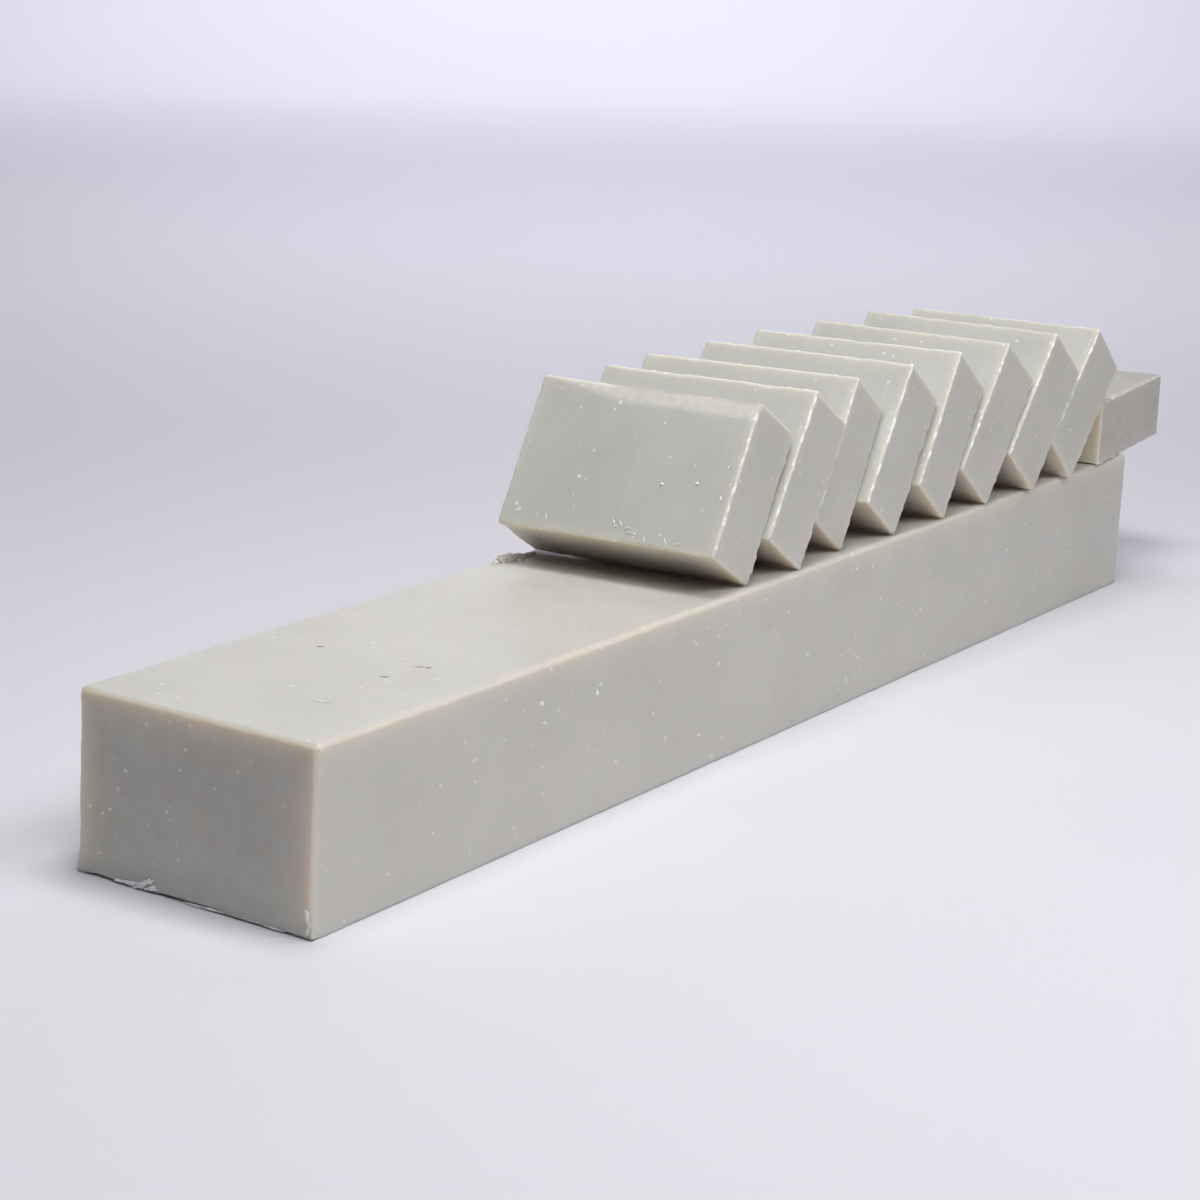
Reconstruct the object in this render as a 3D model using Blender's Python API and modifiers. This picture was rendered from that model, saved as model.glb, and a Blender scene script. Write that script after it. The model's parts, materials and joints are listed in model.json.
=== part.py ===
"""Clay bar loaf carrying a leaning row of cut bars.

A long uncut loaf lies on its flat bottom face.  Eight bars cut from such a loaf stand on its top,
each on one edge, and lean on one another like fallen dominoes.  The last one leans on a bar that
lies flat and overhangs the loaf's far end.

+X runs along the loaf towards the flat bar, +Y across the loaf and +Z up.  The origin is the
centre of the loaf's bottom face.
"""

import math
from typing import NamedTuple

import bmesh
import bpy
from mathutils import Euler, Vector

MM = 0.001

# The loaf.  Its two ends are hand cuts, a little off square.
LOAF_LENGTH = 535 * MM
LOAF_WIDTH = 89 * MM
LOAF_HEIGHT = 54.5 * MM
NEAR_CUT_TURN = math.radians(2.5)
NEAR_CUT_RAKE = math.radians(2.5)
FAR_CUT_RAKE = math.radians(2.5)

# The cut bars.  A bar's width lies across the loaf and its thickness along the row.
BAR_WIDTH = 84.5 * MM
BAR_HEIGHT = 55 * MM
BAR_THICKNESS = 27.5 * MM

# The flat bar that props the row: its own thickness, and how it lies.
PROP_THICKNESS = 26 * MM
PROP_TURN = math.radians(6.5)
PROP_SIDE_OVERHANG = 1.5 * MM
PROP_END_OVERHANG = 53 * MM

# An edge left by the cutting wire is crisper than one shaped by the mould.
CUT_EDGE_RADIUS = 0.5 * MM
MOULD_EDGE_RADIUS = 1.2 * MM
EDGE_SEGMENTS = 3

# Clearance between two pieces that touch.
GAP = 0.3 * MM

CLAY_COLOUR = (0.41, 0.41, 0.36, 1.0)
CLAY_ROUGHNESS = 0.5


class Pose(NamedTuple):
    """How one bar of the row stands: angles in degrees, lengths in millimetres."""

    lean: float       # from upright, top towards +X; it never gets less along the row
    turn: float       # about the vertical
    slip: float       # off the loaf's centre line
    thicker: float    # than BAR_THICKNESS


# The row, from the near end of the loaf to the far end.
ROW = (
    Pose(lean=30.5, turn=1.0, slip=0.5, thicker=0.0),
    Pose(lean=33.0, turn=1.0, slip=-1.5, thicker=-0.5),
    Pose(lean=33.5, turn=3.5, slip=2.0, thicker=-1.0),
    Pose(lean=34.5, turn=2.0, slip=-1.0, thicker=1.0),
    Pose(lean=35.0, turn=3.0, slip=-2.0, thicker=1.5),
    Pose(lean=37.0, turn=-1.5, slip=-3.0, thicker=0.5),
    Pose(lean=38.5, turn=-2.0, slip=-5.5, thicker=1.0),
    Pose(lean=42.5, turn=-2.0, slip=-6.0, thicker=-1.5),
)


class Chip(NamedTuple):
    """A small piece broken off a block's edge."""

    node: str
    place: tuple      # on the block, each axis from -1 (low face) to 1 (high face)
    size: tuple       # half lengths of the scoop, in millimetres


CHIPS = (
    Chip("loaf", (-1.0, 0.52, -1.0), (1.6, 7.0, 1.8)),
    Chip("loaf", (-1.0, -0.97, -1.0), (1.8, 2.2, 3.6)),
    Chip("loaf", (1.0, -1.0, 0.05), (2.4, 1.6, 5.0)),
    Chip("leaning_bar_1", (1.0, 0.93, -1.0), (2.2, 4.5, 1.4)),
    Chip("leaning_bar_3", (-1.0, -1.0, -0.35), (1.3, 1.2, 3.2)),
    Chip("leaning_bar_5", (-1.0, 0.90, 1.0), (1.8, 4.8, 1.3)),
    Chip("leaning_bar_6", (-1.0, -1.0, 0.25), (1.2, 1.2, 3.0)),
    Chip("leaning_bar_8", (1.0, -1.0, 0.90), (1.6, 1.3, 2.4)),
    Chip("prop_bar", (-1.0, -1.0, 1.0), (1.8, 1.6, 1.2)),
)
CHIP_SUBDIVISIONS = 2


def clear_scene():
    """Remove every object of the open scene."""
    for obj in list(bpy.data.objects):
        bpy.data.objects.remove(obj, do_unlink=True)


def new_collection(name):
    """Add a collection to the scene."""
    collection = bpy.data.collections.new(name)
    bpy.context.scene.collection.children.link(collection)
    return collection


def clay_material(name):
    """Return a new plain clay material, one for each piece."""
    material = bpy.data.materials.new(name)
    material.use_nodes = True
    shader = material.node_tree.nodes["Principled BSDF"]
    shader.inputs["Base Color"].default_value = CLAY_COLOUR
    shader.inputs["Roughness"].default_value = CLAY_ROUGHNESS
    shader.inputs["Metallic"].default_value = 0.0
    return material


def add_block(name, low, high, mould_axis, collection):
    """Add a block from corner low to corner high, with its edges rounded.

    The four edges along mould_axis (0, 1 or 2) get the mould's radius, and the eight edges around
    the two cut faces get the cutting wire's.
    """
    mesh = bpy.data.meshes.new(name)
    shape = bmesh.new()
    bmesh.ops.create_cube(shape, size=1.0)
    size = Vector(high) - Vector(low)
    bmesh.ops.scale(shape, vec=size, verts=shape.verts)
    bmesh.ops.translate(shape, vec=Vector(low) + size / 2, verts=shape.verts)
    weights = shape.edges.layers.float.new("bevel_weight_edge")
    for edge in shape.edges:
        along = edge.verts[1].co - edge.verts[0].co
        is_mould_edge = abs(along[mould_axis]) > 0.5 * size[mould_axis]
        edge[weights] = 1.0 if is_mould_edge else CUT_EDGE_RADIUS / MOULD_EDGE_RADIUS
    shape.to_mesh(mesh)
    shape.free()
    mesh.materials.append(clay_material(name))
    block = bpy.data.objects.new(name, mesh)
    collection.objects.link(block)
    bevel = block.modifiers.new("rounded_edges", "BEVEL")
    bevel.limit_method = "WEIGHT"
    bevel.width = MOULD_EDGE_RADIUS
    bevel.segments = EDGE_SEGMENTS
    return block


def add_chip(block, low, high, chip, collection):
    """Scoop a chip out of a block's edge with a flattened ball that travels with the block."""
    mesh = bpy.data.meshes.new(block.name + "_chip")
    shape = bmesh.new()
    bmesh.ops.create_icosphere(shape, subdivisions=CHIP_SUBDIVISIONS, radius=1.0)
    bmesh.ops.scale(shape, vec=Vector(chip.size) * MM, verts=shape.verts)
    middle = (Vector(low) + Vector(high)) / 2
    half = (Vector(high) - Vector(low)) / 2
    place = Vector(chip.place)
    outward = Vector([math.copysign(1.0, p) if abs(p) == 1.0 else 0.0 for p in place])
    step = Vector([0.45 * s * MM * o for s, o in zip(chip.size, outward)])
    centre = Vector([m + h * p for m, h, p in zip(middle, half, place)]) + step
    bmesh.ops.translate(shape, vec=centre, verts=shape.verts)
    shape.to_mesh(mesh)
    shape.free()
    cutter = bpy.data.objects.new(block.name + "_chip", mesh)
    collection.objects.link(cutter)
    cutter.parent = block
    cutter.hide_render = True
    cutter.display_type = "WIRE"
    cut = block.modifiers.new("chip", "BOOLEAN")
    cut.operation = "DIFFERENCE"
    cut.object = cutter


def chip_block(block, low, high, collection):
    """Give a block all of its chips."""
    for chip in CHIPS:
        if chip.node == block.name:
            add_chip(block, low, high, chip, collection)


def add_loaf(parts, cutters):
    """Add the long loaf, standing on z = 0, with its two ends cut a little off square."""
    low = (-LOAF_LENGTH / 2, -LOAF_WIDTH / 2, 0.0)
    high = (LOAF_LENGTH / 2, LOAF_WIDTH / 2, LOAF_HEIGHT)
    loaf = add_block("loaf", low, high, 0, parts)
    for vertex in loaf.data.vertices:
        above_middle = vertex.co.z - LOAF_HEIGHT / 2
        if vertex.co.x < 0:
            vertex.co.x += vertex.co.y * math.tan(NEAR_CUT_TURN) + above_middle * math.tan(NEAR_CUT_RAKE)
        else:
            vertex.co.x += above_middle * math.tan(FAR_CUT_RAKE)
    chip_block(loaf, low, high, cutters)
    return loaf


def bar_corners(pose):
    """Return a leaning bar's low and high corners about the middle of its bottom back edge."""
    thickness = BAR_THICKNESS + pose.thicker * MM
    low = (-thickness, -BAR_WIDTH / 2, 0.0)
    high = (0.0, BAR_WIDTH / 2, BAR_HEIGHT)
    return low, high


def box_points(low, high):
    """Return the eight corners of a box."""
    return [Vector((x, y, z)) for x in (low[0], high[0]) for y in (low[1], high[1]) for z in (low[2], high[2])]


def bar_rotation(pose):
    """Return the rotation of a leaning bar: it leans first, then turns about the vertical."""
    return Euler((0.0, math.radians(pose.lean), math.radians(pose.turn)), "XYZ")


def rest_height(pose):
    """Return the height of a leaning bar's sharp bottom edge, so its rounded edge clears the loaf by GAP."""
    lean = math.radians(pose.lean)
    rounded_away = CUT_EDGE_RADIUS * (math.cos(lean) + math.sin(lean) - 1)
    return LOAF_HEIGHT + GAP - rounded_away


def back_plane(pose, place):
    """Return the outward normal of a leaning bar's back face, and a point on it."""
    return bar_rotation(pose).to_matrix() @ Vector((1, 0, 0)), Vector(place)


def slide_up_to(plane, points):
    """Return how far +X the points must move for the nearest to clear the plane by GAP."""
    normal, point = plane
    nearest = min(normal.dot(p - point) for p in points)
    return (GAP - nearest) / normal.x


def prop_block():
    """Return the flat bar's low and high corners about its bottom corner nearest the row."""
    return (0.0, 0.0, 0.0), (BAR_WIDTH, BAR_HEIGHT, PROP_THICKNESS)


def row_places():
    """Return the place of each leaning bar and of the flat bar, each touching the one before.

    The chain is worked out from a first bar at x = 0, then the whole row is moved so that the flat
    bar's far corner overhangs the loaf's end by PROP_END_OVERHANG.
    """
    places = []
    plane = None
    for pose in ROW:
        place = Vector((0.0, pose.slip * MM, rest_height(pose)))
        if plane is not None:
            turned = bar_rotation(pose).to_matrix()
            points = [turned @ p + place for p in box_points(*bar_corners(pose))]
            place.x += slide_up_to(plane, points)
        plane = back_plane(pose, place)
        places.append(place)
    turned = Euler((0.0, 0.0, PROP_TURN)).to_matrix()
    prop = Vector((0.0, -LOAF_WIDTH / 2 - PROP_SIDE_OVERHANG, LOAF_HEIGHT + GAP))
    points = [turned @ p + prop for p in box_points(*prop_block())]
    prop.x += slide_up_to(plane, points)
    far_corner = prop.x + max((turned @ p).x for p in box_points(*prop_block()))
    shift = Vector((LOAF_LENGTH / 2 + PROP_END_OVERHANG - far_corner, 0.0, 0.0))
    return [place + shift for place in places], prop + shift


def add_row(parts, cutters):
    """Add the leaning bars and the flat bar that props them."""
    places, prop_place = row_places()
    for number, (pose, place) in enumerate(zip(ROW, places), start=1):
        low, high = bar_corners(pose)
        bar = add_block(f"leaning_bar_{number}", low, high, 0, parts)
        bar.location = place
        bar.rotation_euler = bar_rotation(pose)
        chip_block(bar, low, high, cutters)
    low, high = prop_block()
    prop = add_block("prop_bar", low, high, 2, parts)
    prop.location = prop_place
    prop.rotation_euler = (0.0, 0.0, PROP_TURN)
    chip_block(prop, low, high, cutters)


clear_scene()
part_collection = new_collection("clay_bar")
cutter_collection = new_collection("clay_bar_cutters")
add_loaf(part_collection, cutter_collection)
add_row(part_collection, cutter_collection)
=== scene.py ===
"""Looks of a clay soap loaf with a leaning row of cut bars on its top, lit softly in a pale studio."""

import itertools
import json
import math

import bpy
import numpy as np
from mathutils import Matrix, Vector


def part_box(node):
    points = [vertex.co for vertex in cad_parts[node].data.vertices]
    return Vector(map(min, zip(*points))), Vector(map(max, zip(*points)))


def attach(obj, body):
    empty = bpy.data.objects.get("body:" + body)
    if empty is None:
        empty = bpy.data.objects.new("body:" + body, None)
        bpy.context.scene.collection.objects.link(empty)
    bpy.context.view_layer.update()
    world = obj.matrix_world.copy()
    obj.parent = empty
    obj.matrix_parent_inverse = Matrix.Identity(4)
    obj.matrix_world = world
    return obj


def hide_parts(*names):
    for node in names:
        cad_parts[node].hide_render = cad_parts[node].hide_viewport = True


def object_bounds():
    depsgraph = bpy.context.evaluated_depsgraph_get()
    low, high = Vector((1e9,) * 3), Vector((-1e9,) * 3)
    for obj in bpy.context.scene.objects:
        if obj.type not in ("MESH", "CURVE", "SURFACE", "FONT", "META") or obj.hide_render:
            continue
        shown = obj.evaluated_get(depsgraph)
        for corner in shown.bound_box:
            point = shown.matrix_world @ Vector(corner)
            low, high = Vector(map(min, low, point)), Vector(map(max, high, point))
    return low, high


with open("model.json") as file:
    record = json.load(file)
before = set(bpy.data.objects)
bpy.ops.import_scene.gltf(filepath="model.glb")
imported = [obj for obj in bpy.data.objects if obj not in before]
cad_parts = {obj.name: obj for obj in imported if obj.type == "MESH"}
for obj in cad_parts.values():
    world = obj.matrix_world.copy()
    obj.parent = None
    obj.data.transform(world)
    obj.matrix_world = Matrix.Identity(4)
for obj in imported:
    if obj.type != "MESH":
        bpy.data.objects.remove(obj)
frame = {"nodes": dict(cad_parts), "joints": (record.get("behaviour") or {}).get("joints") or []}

MM = 0.001
cad_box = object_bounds()


# ---------------------------------------------------------------------------------------------
# The long loaf.
# One log of clay soap, poured into a long mould, turned out when firm and trimmed at both ends
# with a wire.  Its long faces are smooth and waxy, and its trimmed bottom edge is a little torn.
# ---------------------------------------------------------------------------------------------

# How far the rounding of an edge reaches along the length, width and height, and at the bottom.
LOAF_ROUNDING = np.array((1.8, 1.6, 1.4)) * MM
BOTTOM_ROUNDING = 0.4 * MM
BOTTOM_BLEND = 8.0 * MM
EDGE_ZONE = 3.0 * MM
EDGE_STEPS = 10
# A point closer than this to a face lies on it.
ON_FACE = 0.3 * MM
# How far a torn lip sticks out of a cut edge at most.
LIP_DEPTH = 0.35 * MM


def facing_plane(node, direction):
    """Return (normal, offset) of the plane of the node's largest triangle that faces a direction.

    A triangle faces it when the angle between them is under about 25 degrees.
    """
    mesh = frame["nodes"][node].data
    points = np.empty(len(mesh.vertices) * 3)
    mesh.vertices.foreach_get("co", points)
    mesh.calc_loop_triangles()
    corners = np.empty(len(mesh.loop_triangles) * 3, int)
    mesh.loop_triangles.foreach_get("vertices", corners)
    a, b, c = points.reshape(-1, 3)[corners.reshape(-1, 3)].transpose(1, 0, 2)
    twice_area = np.cross(b - a, c - a)
    size = np.linalg.norm(twice_area, axis=1)
    facing = twice_area @ direction > 0.9 * size
    best = np.argmax(np.where(facing, size, 0.0))
    normal = twice_area[best] / size[best]
    return normal, normal @ a[best]


def block_corners(node, axes):
    """Return a block's eight sharp corners, indexed by low or high along each of its three axes.

    Each corner is where the planes of three faces meet, so a block cut askew keeps its own shape.
    """
    planes = [[facing_plane(node, side * axis) for side in (-1, 1)] for axis in axes]
    corners = np.empty((2, 2, 2, 3))
    for i, j, k in itertools.product((0, 1), repeat=3):
        three = planes[0][i], planes[1][j], planes[2][k]
        corners[i, j, k] = np.linalg.solve([p[0] for p in three], [p[1] for p in three])
    return corners


def spaced(length, step, near_step=None, near_share=0.0):
    """Return places from -length/2 to length/2, in EDGE_STEPS small steps within each EDGE_ZONE.

    Between the two zones they are step apart, or near_step apart over the first near_share.
    """
    half = length / 2
    edge = np.linspace(0.0, EDGE_ZONE, EDGE_STEPS, endpoint=False)
    inner = half - EDGE_ZONE
    change = -inner + 2 * inner * near_share
    runs = [(-inner, change, near_step), (change, inner, step)] if near_share else [(-inner, inner, step)]
    middle = [
        np.linspace(start, end, max(2, math.ceil((end - start) / apart)), endpoint=False)
        for start, end, apart in runs
    ]
    far_edge = np.linspace(inner, half, EDGE_STEPS + 1)
    return np.concatenate([edge - half, *middle, far_edge])


def box_grid(xs, ys, zs):
    """Return the points of a closed box surface over the given places, and its outward quads.

    The surface points of the full three-way lattice are numbered, and each of the six sides is a
    sheet of quads over its own numbers, so the sides share the points along the edges.
    """
    shape = len(xs), len(ys), len(zs)
    on_surface = np.zeros(shape, bool)
    for axis in range(3):
        on_surface.swapaxes(0, axis)[[0, -1]] = True
    number = np.full(shape, -1)
    number[on_surface] = np.arange(on_surface.sum())
    i, j, k = np.nonzero(on_surface)
    quads = []
    for axis, end in itertools.product(range(3), (0, -1)):
        sheet = np.moveaxis(number, axis, 0)[end]
        ring = [sheet[:-1, :-1], sheet[1:, :-1], sheet[1:, 1:], sheet[:-1, 1:]]
        points_out = (axis == 1) == (end == 0)
        quads.append(np.stack(ring if points_out else ring[::-1], -1).reshape(-1, 4))
    return np.stack([xs[i], ys[j], zs[k]], -1), np.concatenate(quads)


def round_off(points, half, reach):
    """Round a box's edges and corners.

    Inside the last reach along each axis, a point's three shares of the reach are divided by
    their combined length, which bends the flat corner onto a quarter ellipse or an ellipsoid.
    """
    shares = np.clip(np.abs(points) - (half - reach), 0.0, None) / reach
    bend = np.maximum(np.linalg.norm(shares, axis=1, keepdims=True), 1.0)
    rounded = np.sign(points) * (half - reach + reach * shares / bend)
    return np.where(shares > 0, rounded, points)


def between_corners(points, half, corners):
    """Carry points of a straight box into a block with the given corners, by blending the eight."""
    high = (points / half + 1) / 2
    placed = np.zeros_like(points)
    for index in itertools.product((0, 1), repeat=3):
        share = np.prod(np.where(index, high, 1 - high), axis=1, keepdims=True)
        placed += share * corners[index]
    return placed


def lumps(points, size, seed):
    """Return smooth random lumps from -1 to 1, about size across.

    Each point of a cubic lattice of that size gets a random value from a hash of its three
    numbers, and a smooth step blends the eight values around a place.
    """
    scaled = points / size
    cell = np.floor(scaled).astype(np.int64)
    part = scaled - cell
    part = part * part * (3 - 2 * part)
    total = np.zeros(len(points))
    for index in itertools.product((0, 1), repeat=3):
        key = (cell + index) @ np.array([73856093, 19349663, 83492791]) + seed * 2654435761
        key = (key ^ (key >> 15)) * 2246822519 & 0xFFFFFFFF
        key = (key ^ (key >> 13)) * 3266489917 & 0xFFFFFFFF
        value = ((key ^ (key >> 16)) & 0xFFFF) / 32767.5 - 1
        total += value * np.prod(np.where(index, part, 1 - part), axis=1)
    return total


def hump(distance, reach):
    """Return a smooth hump: 1 at distance 0, falling to 0 by about twice the reach."""
    return np.exp(-((distance / reach) ** 2))


def outward(points, quads):
    """Return each point's outward direction: the summed directions of the quads around it."""
    a, b, c, d = points[quads].transpose(1, 0, 2)
    facing = np.cross(c - a, d - b)
    total = np.stack([np.bincount(quads.ravel(), np.repeat(facing[:, n], 4)) for n in range(3)], -1)
    return total / np.linalg.norm(total, axis=1, keepdims=True)


def block_frame(corners):
    """Return half the mean lengths of a block's edges along its three axes."""
    return np.array([
        np.linalg.norm(corners.take(1, n) - corners.take(0, n), axis=-1).mean() / 2 for n in range(3)
    ])


def add_surface(name, points, quads, paints, material, body, stands_for=None):
    """Make a piece from points and quads, with its painted attributes, and let it ride on a body.

    No point stands out past the whole object's box.
    """
    mesh = bpy.data.meshes.new(name)
    mesh.from_pydata(np.clip(points, *np.array(cad_box)), [], quads)
    for paint, values in paints.items():
        kind = "FLOAT_VECTOR" if values.ndim == 2 else "FLOAT"
        layer = mesh.attributes.new(paint, kind, "POINT")
        layer.data.foreach_set("vector" if values.ndim == 2 else "value", values.ravel())
    mesh.shade_smooth()
    mesh.materials.append(material)
    piece = bpy.data.objects.new(name, mesh)
    bpy.context.scene.collection.objects.link(piece)
    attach(piece, body)
    if stands_for:
        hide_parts(stands_for)
    return piece


def linear(hex_colour):
    """Turn an sRGB hex colour into linear red, green, blue and alpha."""
    parts = np.array([int(hex_colour[n:n + 2], 16) for n in (1, 3, 5)]) / 255
    light = np.where(parts <= 0.04045, parts / 12.92, ((parts + 0.055) / 1.055) ** 2.4)
    return (*light.tolist(), 1.0)


def add_node(tree, kind, inputs, **settings):
    """Add a node, set its settings, and link or set each of its inputs."""
    node = tree.nodes.new(kind)
    for key, value in settings.items():
        setattr(node, key, value)
    for key, value in inputs.items():
        if isinstance(value, bpy.types.NodeSocket):
            tree.links.new(value, node.inputs[key])
        else:
            node.inputs[key].default_value = value
    return node


def clay_soap(name, roughness, drag_depth, soak):
    """Cast clay soap: oils turned to soap, with fine clay stirred in, cut when firm.

    It gives the eye a milky body that light soaks some millimetres into, so the edges glow warm.
    Its moulded skin is a little warmer than the fresh cut faces.  White specks of clay show in
    both, worn edges are dry and pale, torn clay is whiter, and the wire leaves faint drag lines.
    """
    material = bpy.data.materials.new(name)
    material.use_nodes = True
    tree = material.node_tree
    shader = tree.nodes["Principled BSDF"]
    place = add_node(tree, "ShaderNodeTexCoord", {}).outputs["Object"]
    in_block = add_node(tree, "ShaderNodeAttribute", {}, attribute_name="in_block").outputs["Vector"]
    skin, painted_glow_and_smear_tint, edge, torn, painted_shade = (
        add_node(tree, "ShaderNodeAttribute", {}, attribute_name=paint).outputs["Fac"]
        for paint in ("skin", "painted_glow_and_smear_tint", "edge", "torn", "painted_shade")
    )

    def noise(vector, size, detail):
        """Return soft noise with features about size across."""
        return add_node(tree, "ShaderNodeTexNoise", {
            "Vector": vector, "Scale": 1 / size, "Detail": detail,
        }).outputs["Fac"]

    def ramp(value, start, end, low=0.0, high=1.0):
        """Return low to high as the value goes from start to end."""
        return add_node(tree, "ShaderNodeMapRange", {0: value, 1: start, 2: end, 3: low, 4: high}).outputs[0]

    def product(first, second):
        """Return two values multiplied."""
        return add_node(tree, "ShaderNodeMath", {0: first, 1: second}, operation="MULTIPLY").outputs[0]

    def coat(share, under, over):
        """Return the colour under covered by the share of the colour over."""
        return add_node(tree, "ShaderNodeMix", {0: share, 6: under, 7: over}, data_type="RGBA").outputs[2]

    # Inside, cool grey-green clay in faint clouds about 30 mm across; outside, a warmer skin.
    clouds = ramp(noise(place, 0.03, 4.0), 0.3, 0.7)
    fresh = coat(clouds, linear("#C1C2BC"), linear("#C8C9C3"))
    moulded = coat(clouds, linear("#C7C5BB"), linear("#CDCBC3"))
    colour = coat(skin, fresh, moulded)
    # A warm painted glow lies where light would soak out near lit edges; a little of the same colour also
    # tints the first bar's smear.
    colour = coat(painted_glow_and_smear_tint, colour, linear("#F2E3C8"))
    # Painted shade: a darker, browner colour in cloudy patches about 6 mm across, standing for shadow under
    # and between the bars and on faces turned away from the lights.
    painted_shade_share = product(painted_shade, ramp(noise(place, 0.006, 2.0), 0.3, 0.7, 0.6, 1.0))
    colour = coat(painted_shade_share, colour, linear("#8A7B66"))

    # The wire smears pale streaks about 2 mm apart down the cut faces.
    stretched = add_node(tree, "ShaderNodeMapping", {
        "Vector": in_block, "Scale": (0.3, 1.0, 0.05),
    }).outputs[0]
    on_cut = add_node(tree, "ShaderNodeMath", {0: 1.0, 1: skin}, operation="SUBTRACT").outputs[0]
    streaks = product(on_cut, ramp(noise(stretched, 0.0015, 3.0), 0.56, 0.8, 0.0, 0.19))
    colour = coat(streaks, colour, linear("#DEDDD6"))

    # Worn edges are dry and pale in uneven patches 2.5 mm across, and the same pale colour is a
    # painted highlight on the loaf's long sides just under the top edge; torn clay is whiter still.
    wear_and_painted_highlight = product(edge, ramp(noise(place, 0.0025, 2.0), 0.3, 0.7, 0.1, 0.5))
    colour = coat(wear_and_painted_highlight, colour, linear("#E2DED4"))
    crisp = ramp(product(torn, ramp(noise(place, 0.0008, 2.0), 0.3, 0.7, 0.4, 1.6)), 0.3, 0.75)
    colour = coat(crisp, colour, linear("#F3F1EC"))

    # White specks of clay in three sizes, each at the middle of its own random cell.  The noise
    # added to the place makes them uneven.
    ragged = add_node(tree, "ShaderNodeTexNoise", {"Vector": place, "Scale": 1 / 0.0012}).outputs["Color"]
    shifted = add_node(tree, "ShaderNodeVectorMath", {
        0: ragged, 1: (0.0009, 0.0009, 0.0009), 2: place,
    }, operation="MULTIPLY_ADD").outputs[0]
    for spacing, radius, strength in ((0.0026, 0.0003, 0.6), (0.005, 0.0006, 0.9), (0.0075, 0.0009, 0.8)):
        cells = add_node(tree, "ShaderNodeTexVoronoi", {"Vector": shifted, "Scale": 1 / spacing})
        dot = ramp(cells.outputs["Distance"], radius / spacing, 0.45 * radius / spacing)
        chance = add_node(tree, "ShaderNodeSeparateColor", {0: cells.outputs["Color"]}).outputs[0]
        speck = product(dot, ramp(chance, 0.3, 0.85, 0.0, strength))
        colour = coat(speck, colour, linear("#F6F5F1"))
    tree.links.new(colour, shader.inputs["Base Color"])

    # The waxy skin shines unevenly, in patches of 10 mm, and the cut faces are rougher.
    rough = ramp(noise(place, 0.01, 3.0), 0.3, 0.7, roughness - 0.06, roughness + 0.06)
    rougher = add_node(tree, "ShaderNodeMath", {
        0: on_cut, 1: 0.16, 2: rough,
    }, operation="MULTIPLY_ADD").outputs[0]
    tree.links.new(rougher, shader.inputs["Roughness"])

    # The drag lines are about 0.8 mm apart, over a fine grain of 0.5 mm.
    lines = add_node(tree, "ShaderNodeBump", {
        "Height": noise(stretched, 0.0008, 1.0), "Distance": drag_depth, "Strength": 1.0,
    }).outputs[0]
    bumpy = add_node(tree, "ShaderNodeBump", {
        "Height": noise(place, 0.0005, 2.0), "Distance": 0.018 * MM, "Strength": 1.0, "Normal": lines,
    }).outputs[0]
    tree.links.new(bumpy, shader.inputs["Normal"])

    # Red light soaks furthest into soap, which warms its lit edges.
    shader.inputs["Subsurface Weight"].default_value = 1.0
    shader.inputs["Subsurface Radius"].default_value = (1.0, 0.78, 0.6)
    shader.inputs["Subsurface Scale"].default_value = soak
    shader.inputs["IOR"].default_value = 1.46
    return material


def block_paints(places, half, cut_axis):
    """Return what each point of a block is painted with, as one array for each paint.

    That is its place in the block, whether it is on moulded skin or a cut face, and how close the
    nearest edge is: 1 at the edge, and half as much for every 0.8 mm away from it.
    """
    gaps = half - np.abs(places)
    on_cut = np.argmin(gaps, axis=1) == cut_axis
    return {
        "in_block": places,
        "skin": np.where(on_cut, 0.0, 1.0),
        "painted_glow_and_smear_tint": np.zeros(len(places)),
        "edge": np.exp(-np.clip(np.sort(gaps, axis=1)[:, 1], 0, None) / (1.1 * MM)),
        "painted_shade": np.zeros(len(places)),
    }


def torn_edge(places, half, seed, depth):
    """Return how far the cut edges are pushed out (ragged lips) or in (nicks).

    Both stay within about 1 mm of the edges of the two cut faces; a lip is the upper part of lumps
    2.2 mm across, and a nick the upper part of lumps 7 mm across.
    """
    gaps = half - np.abs(places)
    from_cut_edge = np.maximum(gaps[:, 0], np.minimum(gaps[:, 1], gaps[:, 2]))
    near = hump(from_cut_edge, 0.8 * MM)
    lip = np.clip(lumps(places, 2.2 * MM, seed) - 0.15, 0, None)
    nick = np.clip(lumps(places, 7.0 * MM, seed + 1) - 0.35, 0, None)
    return near * depth * (lip - 1.6 * nick), near * np.clip(lip * 1.6, 0, 1)


loaf_corners = block_corners("loaf", np.eye(3))
loaf_half = block_frame(loaf_corners)
loaf_grid, loaf_quads = box_grid(
    spaced(2 * loaf_half[0], 2.5 * MM, near_step=1.1 * MM, near_share=0.42),
    spaced(2 * loaf_half[1], 1.8 * MM),
    spaced(2 * loaf_half[2], 1.8 * MM),
)
loaf_height_share = np.clip((loaf_grid[:, 2:] + loaf_half[2]) / BOTTOM_BLEND, 0, 1)
loaf_reach = BOTTOM_ROUNDING + (LOAF_ROUNDING - BOTTOM_ROUNDING) * loaf_height_share
loaf_places = round_off(loaf_grid, loaf_half, loaf_reach)
loaf_points = between_corners(loaf_places, loaf_half, loaf_corners)
loaf_out = outward(loaf_points, loaf_quads)
loaf_gaps = loaf_half - np.abs(loaf_places)
is_bottom = loaf_places[:, 2] < -loaf_half[2] + 0.2 * MM

# The long faces swell and dip a little, and all the edges are slightly worn.
loaf_push = 0.12 * MM * lumps(loaf_places, 22 * MM, 3)
loaf_edge = hump(np.sort(loaf_gaps, axis=1)[:, 1], 1.2 * MM)
loaf_push -= 0.35 * MM * loaf_edge * np.clip(lumps(loaf_places, 4 * MM, 5), 0, None)
loaf_lip, loaf_torn = torn_edge(loaf_places, loaf_half, 11, LIP_DEPTH)
loaf_push += loaf_lip

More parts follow.
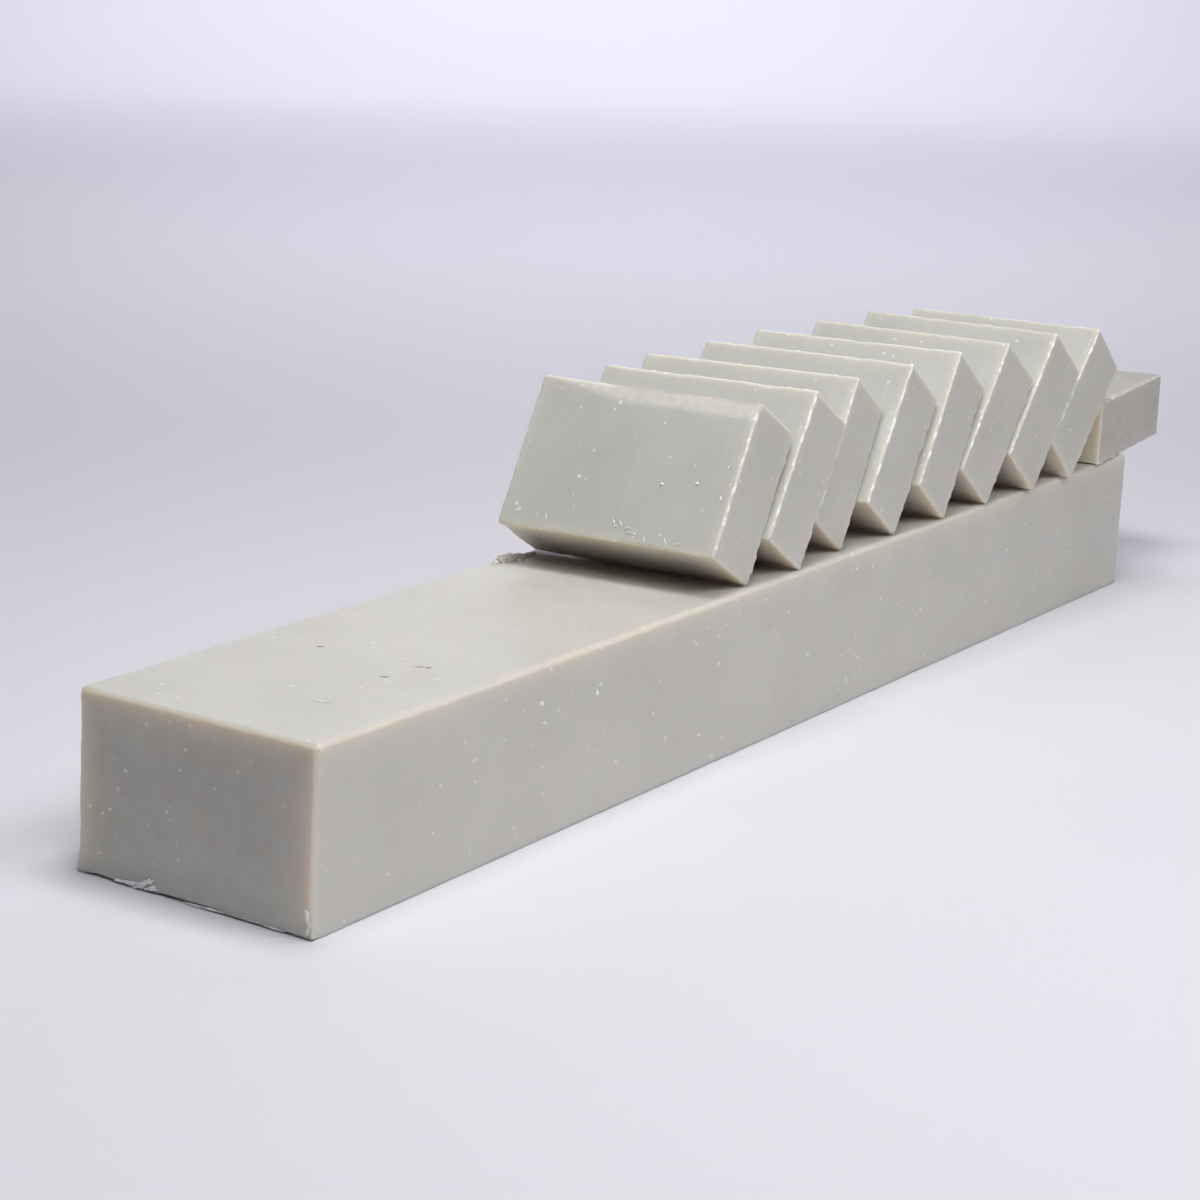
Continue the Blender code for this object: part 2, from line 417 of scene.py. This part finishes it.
# The bottom of the near cut is torn away in an uneven line where the wire came out.
from_near_end = loaf_places[:, 0] + loaf_half[0]
above_bottom = loaf_places[:, 2] + loaf_half[2]
tear_height = (0.7 + 0.7 * lumps(loaf_places, 7 * MM, 7)) * MM
torn_bottom = hump(from_near_end, 1.2 * MM) * (above_bottom < tear_height)
loaf_push -= 0.7 * MM * torn_bottom
loaf_push[is_bottom] = np.clip(loaf_push[is_bottom], None, 0)

moulded_clay = clay_soap("clay_soap_moulded", roughness=0.38, drag_depth=0.012 * MM, soak=5 * MM)
loaf_paints = block_paints(loaf_places, loaf_half, 0)
# The wire was drawn level through the loaf, so its lines run across the near cut.
loaf_paints["in_block"] = loaf_places[:, [0, 2, 1]]
loaf_paints["torn"] = np.clip(0.6 * loaf_torn, 0, 1)

# The outer few millimetres of the near cut carry a warm painted glow, but not at the bottom, and
# the skin just under the top edges carries a fainter one with a pale painted highlight.  The rest
# of the near cut is darkened with painted shade, less towards its bottom.
from_top = loaf_half[2] - loaf_places[:, 2]
from_skin = np.minimum(loaf_gaps[:, 1], from_top)
on_near_cut = from_near_end < ON_FACE
near_painted_glow = np.clip(0.9 * np.exp(-from_skin / (4.3 * MM)), 0, 0.62)
near_painted_glow *= np.clip(above_bottom / (6 * MM), 0, 1)
near_painted_shade = 0.31 * on_near_cut * (1 - near_painted_glow) * (1 - 0.5 * np.exp(-above_bottom / (10 * MM)))
on_long_side = (loaf_gaps[:, 1] < ON_FACE) & ~on_near_cut
side_painted_glow = 0.32 * np.exp(-from_top / (3.8 * MM))
loaf_paints["painted_glow_and_smear_tint"] = np.where(on_near_cut, near_painted_glow, on_long_side * side_painted_glow)
# The pale edge paint also makes a painted highlight down the long sides from the top edge.
loaf_paints["edge"] = np.maximum(loaf_paints["edge"], on_long_side * np.exp(-from_top / (3 * MM)))

# A darker, browner painted shadow lies on the top where the row shelters it, in cloudy patches,
# and a little painted shade on the near cut.
first_bar_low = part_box("leaning_bar_1")[0]
flat_bar_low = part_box("prop_bar")[0]
under_row = np.clip((loaf_points[:, 0] - first_bar_low.x - 2 * MM) / (10 * MM), 0, 1)
under_row *= np.clip((flat_bar_low.x + 10 * MM - loaf_points[:, 0]) / (15 * MM), 0, 1)
inset = loaf_gaps[:, 1] + 3 * MM * lumps(loaf_places, 12 * MM, 9)
on_top = (from_top < ON_FACE) * np.clip((inset - 3 * MM) / (15 * MM), 0, 1)
loaf_paints["painted_shade"] = 0.5 * under_row * on_top + near_painted_shade
add_surface(
    "long_loaf", loaf_points + loaf_push[:, None] * loaf_out, loaf_quads, loaf_paints,
    moulded_clay, "loaf_body", "loaf",
)


# ---------------------------------------------------------------------------------------------
# Torn clay and flakes on the loaf.
# Clay that tore instead of cutting: a rough ridge on the back top edge in front of the row, a
# curled flake and a burr on the near cut, and a few flakes and dark grits pressed into the skin.
# ---------------------------------------------------------------------------------------------

CRUMB_STEPS = 14


def crumb(middle, along, out, sizes, seed, ragged):
    """Return the points and quads of one rough crumb, a ball stretched to three half sizes.

    Its first size runs along the given direction and its third outward; ragged is the share of
    its size that lumps add or take away.
    """
    side = np.linspace(-1, 1, CRUMB_STEPS)
    cube, quads = box_grid(side, side, side)
    ball = cube / np.linalg.norm(cube, axis=1, keepdims=True)
    coarse = lumps(ball * sizes, 1.1 * MM, seed)
    fine = lumps(ball * sizes, 0.5 * MM, seed + 1)
    rough = 1 + ragged * coarse + ragged * fine
    along = np.array(along, float) / np.linalg.norm(along)
    axes = np.stack([along, np.cross(out, along), out])
    points = np.array(middle) + (ball * rough[:, None] * sizes) @ axes
    return np.maximum(points, (-np.inf, -np.inf, 0.1 * MM)), quads


def add_crumbs(name, crumbs, white, painted_shade, material, body):
    """Make one piece of several crumbs, painted evenly white or darker with painted shade."""
    starts = np.cumsum([0] + [len(points) for points, _ in crumbs[:-1]])
    points = np.concatenate([points for points, _ in crumbs])
    quads = np.concatenate([quads + start for (_, quads), start in zip(crumbs, starts)])
    even = np.ones(len(points))
    paints = {"in_block": points, "skin": even, "torn": white * even, "painted_shade": painted_shade * even}
    add_surface(name, points, quads, paints, material, body)


UP = np.array((0.0, 0.0, 1.0))
RIGHT = np.array((0.0, -1.0, 0.0))
NEAR = np.array((-1.0, 0.0, 0.0))
loaf_high = np.array(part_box("loaf")[1])
loaf_top = loaf_high[2]
loaf_right = loaf_corners[0, 0, 0, 1]
torn_clay = clay_soap("clay_soap_torn", roughness=0.55, drag_depth=0.01 * MM, soak=0.8 * MM)
ridge_start = np.array((first_bar_low.x + 6 * MM, loaf_high[1] - 4.2 * MM, loaf_top - 0.3 * MM))
ridge = [
    crumb(ridge_start + np.array(move) * MM, along, UP, np.array(sizes) * MM, seed, 0.38)
    for seed, move, along, sizes in (
        (20, (-6.0, 1.4, 0.0), (1.0, 0.3, 0.0), (3.4, 1.2, 1.1)),
        (22, (-1.0, 1.0, 0.3), (1.0, -0.2, 0.0), (4.4, 1.9, 2.3)),
        (24, (4.0, 0.2, 0.1), (1.0, -0.1, 0.0), (4.0, 2.2, 1.7)),
        (26, (9.0, -0.2, 0.0), (1.0, 0.1, 0.0), (3.6, 1.8, 1.0)),
        (28, (13.0, 0.2, 0.0), (1.0, 0.0, 0.0), (2.6, 1.2, 0.7)),
        (30, (1.5, -2.6, 0.0), (0.6, 1.0, 0.0), (2.4, 1.0, 0.7)),
    )
]
# The ridge is darkened a little with painted shade, for the first bar's shadow over it.
add_crumbs("torn_ridge", ridge, 0.5, 0.2, torn_clay, "loaf_body")


def near_face(y, z):
    """Return the point of the near cut at a width and height."""
    normal, offset = facing_plane("loaf", NEAR)
    return np.array(((offset - normal[1] * y - normal[2] * z) / normal[0], y, z))


flakes = [
    crumb(near_face(y * MM, z * MM), along, NEAR, np.array(sizes) * MM, seed, ragged)
    for seed, y, z, along, sizes, ragged in (
        (40, 23.0, 1.3, (0.0, 1.0, -0.05), (5.0, 0.7, 0.45), 0.35),
        (42, 18.0, 2.3, (0.0, 1.0, -0.45), (3.6, 0.9, 0.45), 0.4),
        (44, 15.0, 1.4, (0.0, 1.0, -0.25), (2.2, 0.6, 0.4), 0.4),
        (46, -8.0, 0.7, (0.0, 1.0, 0.0), (7.0, 0.35, 0.25), 0.4),
        (48, -31.0, 0.7, (0.0, 1.0, 0.0), (4.0, 0.3, 0.25), 0.4),
        (50, -42.6, 6.3, (0.0, 0.2, 1.0), (2.2, 0.5, 0.3), 0.5),
        (52, -43.1, 3.2, (0.0, -0.3, 1.0), (1.5, 0.45, 0.3), 0.5),
    )
]
add_crumbs("near_flakes", flakes, 1.5, 0.0, torn_clay, "loaf_body")

side_flakes = [
    crumb((x * MM, loaf_right, z * MM), along, RIGHT, np.array(sizes) * MM, seed, 0.45)
    for seed, x, z, along, sizes in (
        (60, -163.1, 42.6, (1.0, 0.0, 0.4), (1.0, 0.6, 0.35)),
        (62, -161.3, 36.3, (1.0, 0.0, -0.2), (1.1, 0.35, 0.3)),
        (64, -133.4, 39.4, (0.5, 0.0, 1.0), (1.5, 0.9, 0.4)),
        (66, -131.6, 41.6, (1.0, 0.0, 0.3), (0.9, 0.4, 0.3)),
        (68, -72.0, 12.0, (1.0, 0.0, 0.2), (0.8, 0.3, 0.25)),
        (70, 32.0, 48.0, (1.0, 0.0, 0.6), (0.9, 0.4, 0.3)),
        (72, 44.0, 47.0, (0.4, 0.0, 1.0), (0.9, 0.5, 0.3)),
    )
]
side_flakes.append(crumb(
    (-234.1 * MM, -18.0 * MM, loaf_top - 0.05 * MM), (0.2, -1.0, 0.0), UP,
    np.array((2.3, 0.7, 0.2)) * MM, 74, 0.5,
))
add_crumbs("skin_flakes", side_flakes, 1.5, 0.0, torn_clay, "loaf_body")


def dark_grit():
    """Dried clay grit: crumbs of hard old clay, matt and dark, pressed into the top."""
    material = bpy.data.materials.new("dried_clay_grit")
    material.use_nodes = True
    tree = material.node_tree
    shader = tree.nodes["Principled BSDF"]
    place = add_node(tree, "ShaderNodeTexCoord", {}).outputs["Object"]
    grain = add_node(tree, "ShaderNodeTexNoise", {"Vector": place, "Scale": 1 / 0.0006}).outputs["Fac"]
    shade = add_node(tree, "ShaderNodeMix", {
        0: grain, 6: linear("#4A4640"), 7: linear("#79746B"),
    }, data_type="RGBA").outputs[2]
    tree.links.new(shade, shader.inputs["Base Color"])
    shader.inputs["Roughness"].default_value = 0.8
    return material


grits = [
    crumb((x * MM, y * MM, loaf_top - 0.1 * MM), along, UP, np.array(sizes) * MM, seed, 0.4)
    for seed, x, y, along, sizes in (
        (80, -188.2, 18.6, (0.5, -0.9, 0.0), (1.1, 0.3, 0.25)),
        (82, -203.3, -16.1, (0.6, -0.9, 0.0), (1.7, 0.28, 0.25)),
        (84, -188.0, -17.6, (0.5, -1.0, 0.0), (1.6, 0.25, 0.22)),
        (86, -187.0, -20.6, (0.7, -0.7, 0.0), (0.7, 0.25, 0.2)),
    )
]
add_crumbs("dark_grits", grits, 0.0, 0.0, dark_grit(), "loaf_body")


# ---------------------------------------------------------------------------------------------
# The leaning bars.
# Eight bars cut across a loaf like this one with a wire.  Each stands on its bottom back edge on
# the loaf and leans on the next, held by nothing but its weight.
# ---------------------------------------------------------------------------------------------

# A bar's thickness is its first axis, its width its second and its height its third.
BAR_ROUNDING = np.array((0.6, 1.1, 1.1)) * MM
BAR_STEP = 0.85 * MM
LEANING_BARS = range(1, 9)

wire_cut_clay = clay_soap("clay_soap_wire_cut", roughness=0.4, drag_depth=0.03 * MM, soak=5 * MM)


def leaning_axes(up):
    """Return a leaning bar's own axes from the direction that it leans in."""
    up = np.array(up)
    across = np.array((-up[1], up[0], 0.0))
    across /= np.linalg.norm(across)
    return np.stack([np.cross(across, up), across, up])


def cut_bar(node, axes, seed, body, sheltered_axis=2, shape=None):
    """Make one wire-cut bar over its CAD node, with drag lines, nicks and ragged cut edges.

    The face at the low end of the sheltered axis is its bottom.  shape, if given, takes the
    places of the points in the bar and the bar's half size, and returns the bar's own extra push
    along the outward direction, and its own least share of some paints.
    """
    corners = block_corners(node, axes)
    half = block_frame(corners)
    grid, quads = box_grid(*(spaced(2 * h, BAR_STEP) for h in half))
    places = round_off(grid, half, BAR_ROUNDING)
    points = between_corners(places, half, corners)
    out = outward(points, quads)
    gaps = half - np.abs(places)
    streaks = lumps(places * (0.1, 1.0, 0.04), 2.4 * MM, seed)
    push = 0.07 * MM * lumps(places, 18 * MM, seed + 1) + 0.03 * MM * streaks - 0.08 * MM
    edge = hump(np.sort(gaps, axis=1)[:, 1], 1.0 * MM)
    push -= 0.3 * MM * edge * np.clip(lumps(places, 3.5 * MM, seed + 2), 0, None)
    lip, torn = torn_edge(places, half, seed + 3, LIP_DEPTH)
    push += lip

    # The wire leaves the bar at its right end: it pulls a white burr along that end's cut edges,
    # and scuffs a broken white line 2 mm inside them.
    from_right = places[:, 1] + half[1]
    burr = hump(np.hypot(gaps[:, 0], from_right), 0.9 * MM)
    burr_lumps = np.clip(lumps(places, 1.7 * MM, seed + 5) + 0.25, 0, 1)
    push += 0.4 * MM * burr * burr_lumps
    line_place = (2.2 + 0.6 * lumps(places, 6 * MM, seed + 6)) * MM
    scuff = hump(from_right - line_place, 0.3 * MM) * (gaps[:, 0] < ON_FACE)
    scuff *= np.clip(1.6 * lumps(places, 2.5 * MM, seed + 7) + 0.2, 0, 1)
    torn = torn + 1.5 * burr * burr_lumps + 0.8 * scuff
    own_push, own_paints = shape(places, half) if shape else (0.0, {})
    push += own_push
    paints = block_paints(places, half, 0)
    paints["torn"] = np.clip(0.75 * torn, 0, 1.2)

    # The sheltered bottom is darkened with painted shade, more towards its middle, and a warm painted
    # glow lies along its outer edges.
    on_bottom = places[:, sheltered_axis] < -half[sheltered_axis] + ON_FACE
    inset = np.delete(gaps, sheltered_axis, axis=1).min(axis=1)
    paints["painted_shade"] = 0.6 * on_bottom * np.clip((inset - 4 * MM) / (20 * MM), 0, 1)
    # The cut faces carry a faint warm painted glow near their edges.
    cut_face_painted_glow = 0.22 * (1 - paints["skin"]) * np.exp(-np.min(gaps[:, 1:], axis=1) / (2.6 * MM))
    paints["painted_glow_and_smear_tint"] = cut_face_painted_glow + 0.75 * on_bottom * np.exp(-inset / (7 * MM))
    for paint, share in own_paints.items():
        paints[paint] = np.maximum(paints[paint], share)
    add_surface(node + "_clay", points + push[:, None] * out, quads, paints, wire_cut_clay, body, node)
    return corners, half


def first_bar_shape(places, half):
    """Smear the first bar's top front edge, and tear its bottom left corner.

    The smear is a flat of about 9 degrees, dry and pale, 1 mm wide at the left end and 7 mm over
    most of the edge.
    """
    on_front = np.clip(1 - (places[:, 0] + half[0]) / (2.6 * MM), 0, 1)
    across = (half[1] - places[:, 1]) / (2 * half[1])
    width = (1.0 + 5.8 * np.clip(2.5 * across, 0, 1) + 0.5 * lumps(places, 9 * MM, 175)) * MM
    into = np.clip(places[:, 2] - (half[2] - width), 0, None)
    smear = on_front * np.tan(math.radians(9)) * into
    pale = on_front * np.clip(into / (1.6 * MM), 0, 1)
    boundary = on_front * hump(places[:, 2] - (half[2] - width), 0.5 * MM)
    boundary *= np.clip(across - 0.6, 0, 1) * np.clip(lumps(places, 3 * MM, 171) + 0.9, 0, 1) * 2
    corner = hump(places[:, 1] - half[1], 3 * MM) * hump(places[:, 2] + half[2], 3 * MM)
    tear = corner * (1.3 * lumps(places, 2.2 * MM, 173) - 0.2) * MM
    # The smear takes a little of the warm colour of the painted glow as its own tint.
    paints = {"torn": boundary, "edge": 1.4 * pale, "painted_glow_and_smear_tint": 0.06 * pale}
    return -smear - np.clip(tear, 0, None), paints


leaning = {}
for number in LEANING_BARS:
    joint = next(j for j in frame["joints"] if j["child"] == f"bar_{number}")
    axes = leaning_axes(joint["axis"])
    leaning[number] = axes, *cut_bar(
        f"leaning_bar_{number}", axes, 100 * number, f"bar_{number}",
        shape=first_bar_shape if number == 1 else None,
    )


def front_crumbs(number, placings):
    """Press thin white crumbs into a bar's front: from its right edge, above its bottom, turn, size.

    Each placing is in millimetres, with the turn in degrees from level.
    """
    axes, corners, half = leaning[number]
    crumbs = []
    for seed, (from_right, height, turn, *sizes) in enumerate(placings):
        place = np.array([[-half[0], from_right * MM - half[1], height * MM - half[2]]])
        middle = between_corners(place, half, corners)[0] + 0.05 * MM * axes[0]
        along = math.cos(math.radians(turn)) * axes[1] + math.sin(math.radians(turn)) * axes[2]
        crumbs.append(crumb(middle, along, -axes[0], np.array(sizes) * MM, 300 + 2 * seed, 0.45))
    add_crumbs(f"bar_{number}_flakes", crumbs, 1.5, 0.0, torn_clay, f"bar_{number}")


# The first bar's front has a squiggle of loose scrapings low down, and a few more beside it.
front_crumbs(1, (
    (40.0, 6.5, 60, 1.7, 0.25, 0.2), (38.6, 5.6, -50, 1.4, 0.25, 0.2), (37.0, 6.2, 40, 1.3, 0.25, 0.2),
    (35.2, 5.0, -30, 1.5, 0.25, 0.2), (33.2, 3.8, -10, 1.3, 0.2, 0.2), (31.0, 3.6, 20, 1.1, 0.2, 0.2),
    (27.0, 2.6, 80, 0.9, 0.25, 0.2), (24.0, 3.2, 0, 1.0, 0.2, 0.2), (19.0, 2.6, 60, 1.2, 0.25, 0.2),
    (15.0, 2.4, -20, 1.0, 0.25, 0.2), (57.0, 10.0, 80, 1.2, 0.2, 0.2), (58.6, 14.0, 70, 0.8, 0.25, 0.2),
    (66.0, 4.4, 75, 1.0, 0.2, 0.2), (70.0, 5.0, 60, 0.8, 0.2, 0.2), (14.0, 24.0, 10, 0.8, 0.4, 0.25),
    (27.0, 22.0, 0, 0.5, 0.4, 0.25), (4.6, 31.0, 80, 1.1, 0.3, 0.25), (3.9, 20.0, 75, 1.3, 0.3, 0.25),
))


# ---------------------------------------------------------------------------------------------
# The flat bar.
# One more cut bar, laid flat on the far end of the loaf and partly past it.  The last leaning bar
# rests against its top edge.
# ---------------------------------------------------------------------------------------------



def flat_bar_shape(places, half):
    """Leave the flat bar's shape alone, but darken it with painted shade, most on its top, and give its near
    end a tan painted glow.
    """
    on_top = places[:, 0] > half[0] - ON_FACE
    at_near_end = places[:, 2] > half[2] - ON_FACE
    painted_shade = np.where(at_near_end, 0.1, 0.27 + 0.15 * on_top)
    return 0.0, {"painted_shade": painted_shade, "painted_glow_and_smear_tint": 0.55 * at_near_end}


# Lying flat, its thickness is upright, so its first axis points up and its bottom is a cut face.
cut_bar(
    "prop_bar", np.array(((0, 0, 1), (0, 1, 0), (-1, 0, 0)), float), 900, "flat_bar",
    sheltered_axis=0, shape=flat_bar_shape,
)


# ---------------------------------------------------------------------------------------------
# The studio: a plain pale paper floor that curves up into a round wall, soft lights overhead and
# to the right, and the camera.
# ---------------------------------------------------------------------------------------------

FLOOR_RADIUS = 3.0
COVE_RADIUS = 1.2
WALL_TOP = 3.4
ROUND_STEPS = 96


def pale_paper():
    """Matt studio paper: one roll of pale lavender paper, unprinted."""
    material = bpy.data.materials.new("studio_paper")
    material.use_nodes = True
    tree = material.node_tree
    shader = tree.nodes["Principled BSDF"]
    place = add_node(tree, "ShaderNodeTexCoord", {}).outputs["Object"]
    fibre = add_node(tree, "ShaderNodeTexNoise", {
        "Vector": place, "Scale": 1 / 0.3, "Detail": 2.0,
    }).outputs["Fac"]
    shade = add_node(tree, "ShaderNodeMix", {
        0: fibre, 6: linear("#DFDEE5"), 7: linear("#E2E1E8"),
    }, data_type="RGBA").outputs[2]
    tree.links.new(shade, shader.inputs["Base Color"])
    shader.inputs["Roughness"].default_value = 0.85
    shader.inputs["Specular IOR Level"].default_value = 0.2
    return material


def studio_cove():
    """Return the points and quads of a round floor that curves up into a wall, as a turned profile."""
    rise = np.linspace(0, math.pi / 2, 17)
    flat = np.array((0.02, 0.4, 0.8, 1.6, 2.4))
    outline = np.concatenate([
        np.column_stack([flat, np.zeros_like(flat)]),
        np.column_stack([FLOOR_RADIUS + COVE_RADIUS * np.sin(rise), COVE_RADIUS * (1 - np.cos(rise))]),
        [(FLOOR_RADIUS + COVE_RADIUS, WALL_TOP)],
    ])
    turn = np.arange(ROUND_STEPS) * math.tau / ROUND_STEPS
    ring = np.stack([np.cos(turn), np.sin(turn)], -1)
    heights = np.broadcast_to(outline[:, None, 1:], (len(outline), ROUND_STEPS, 1))
    rings = np.concatenate([outline[:, None, :1] * ring, heights], -1)
    number = np.arange(len(outline) * ROUND_STEPS).reshape(-1, ROUND_STEPS)
    after = np.roll(number, -1, axis=1)
    quads = np.stack([number[:-1], number[1:], after[1:], after[:-1]], -1).reshape(-1, 4)
    return rings.reshape(-1, 3) - (0, 0, 0.05 * MM), [*quads.tolist(), number[0].tolist()]


floor_mesh = bpy.data.meshes.new("studio_floor")
floor_points, floor_faces = studio_cove()
floor_mesh.from_pydata(floor_points, [], floor_faces)
floor_mesh.shade_smooth()
floor_mesh.materials.append(pale_paper())
floor = bpy.data.objects.new("studio_floor", floor_mesh)
bpy.context.scene.collection.objects.link(floor)


def softbox(name, place, aim, size, power, colour="#FFFFFF", spread=180):
    """Hang a soft rectangular light at a place, aimed at a point, out of the camera's sight."""
    light = bpy.data.lights.new(name, "AREA")
    light.shape = "RECTANGLE"
    light.size, light.size_y = size
    light.energy = power
    light.color = linear(colour)[:3]
    light.spread = math.radians(spread)
    lamp = bpy.data.objects.new(name, light)
    lamp.location = place
    lamp.rotation_mode = "QUATERNION"
    lamp.rotation_quaternion = (Vector(aim) - Vector(place)).to_track_quat("-Z", "Y")
    lamp.visible_camera = False
    bpy.context.scene.collection.objects.link(lamp)


# Three softboxes light the clay: overhead, from its long right side, and from behind the camera.
softbox("overhead_softbox", (-0.11, -0.05, 0.85), (-0.11, -0.05, 0.0), (0.26, 0.3), 3.34)
softbox("right_softbox", (-0.05, -0.75, 0.9), (-0.05, 0.0, 0.03), (0.4, 0.4), 3.4)
softbox("front_softbox", (-0.9, -0.9, 1.6), (-0.4, -0.4, 0.0), (1.0, 1.0), 15.0)

# Four cooler ones wash the paper behind it evenly.
COOL = "#F7F7FF"
softbox("close_wash", (0.6, 0.5, 1.1), (0.75, 0.65, 0.0), (0.5, 0.5), 1.3, COOL, 130)
softbox("middle_wash", (0.97, 0.77, 1.2), (1.22, 0.97, 0.0), (0.9, 0.9), 4.05, COOL, 130)
softbox("right_wash", (1.4, 0.1, 1.2), (1.7, 0.1, 0.0), (0.9, 0.9), 2.0, COOL, 130)
softbox("far_wash", (2.5, 1.7, 2.3), (3.2, 2.2, 0.0), (2.0, 1.6), 33.2, COOL, 130)

world = bpy.data.worlds.new("studio")
world.use_nodes = True
world.node_tree.nodes["Background"].inputs["Color"].default_value = linear("#DCDCE8")
world.node_tree.nodes["Background"].inputs["Strength"].default_value = 0.02
bpy.context.scene.world = world
bpy.context.scene.view_settings.view_transform = "Standard"

# The camera stands low at the loaf's near end, to the right of it, and looks along it and down.
CAMERA_PLACE = (-0.8388, -0.4998, 0.2753)
CAMERA_HEADING = math.radians(57.17)
CAMERA_DOWN = math.radians(13.84)
CAMERA_ROLL = math.radians(1.67)
CAMERA_LENS = 86.05

camera_data = bpy.data.cameras.new("camera")
camera_data.sensor_width = 36.0
camera_data.lens = CAMERA_LENS
camera_data.clip_start = 0.01
camera = bpy.data.objects.new("camera", camera_data)
camera.matrix_world = (
    Matrix.Translation(CAMERA_PLACE)
    @ Matrix.Rotation(-CAMERA_HEADING, 4, "Z")
    @ Matrix.Rotation(math.pi / 2 - CAMERA_DOWN, 4, "X")
    @ Matrix.Rotation(CAMERA_ROLL, 4, "Z")
)
bpy.context.scene.collection.objects.link(camera)
bpy.context.scene.camera = camera
